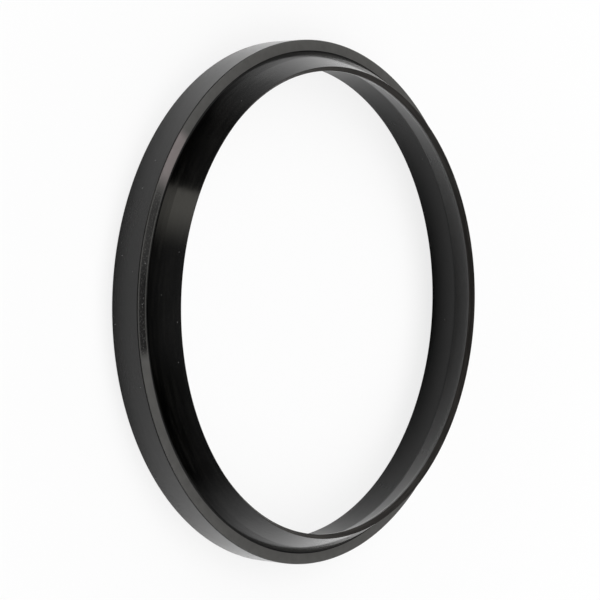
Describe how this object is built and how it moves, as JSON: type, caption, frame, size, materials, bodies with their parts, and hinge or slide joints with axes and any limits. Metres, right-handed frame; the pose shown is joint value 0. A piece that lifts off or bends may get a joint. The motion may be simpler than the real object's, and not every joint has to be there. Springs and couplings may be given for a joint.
{
  "type": "wiper seal",
  "caption": "Black moulded rubber ring with a flat-sided body that snaps into a housing groove and a conical lip that wipes dirt from a sliding rod.",
  "frame": {"origin": "centre of the ring on its heel face, the flat face that it lies on", "axes": "+Z along the ring's axis, from the heel face towards the lip; X and Y are free, because the ring is round"},
  "size_m": [0.0786, 0.0786, 0.0091],
  "materials": {
    "seal_rubber": "moulded, satin, with a trimmed matt lip tip"
  },
  "bodies": {
    "root": {"wiper_seal": "seal_rubber"}
  },
  "joints": []
}
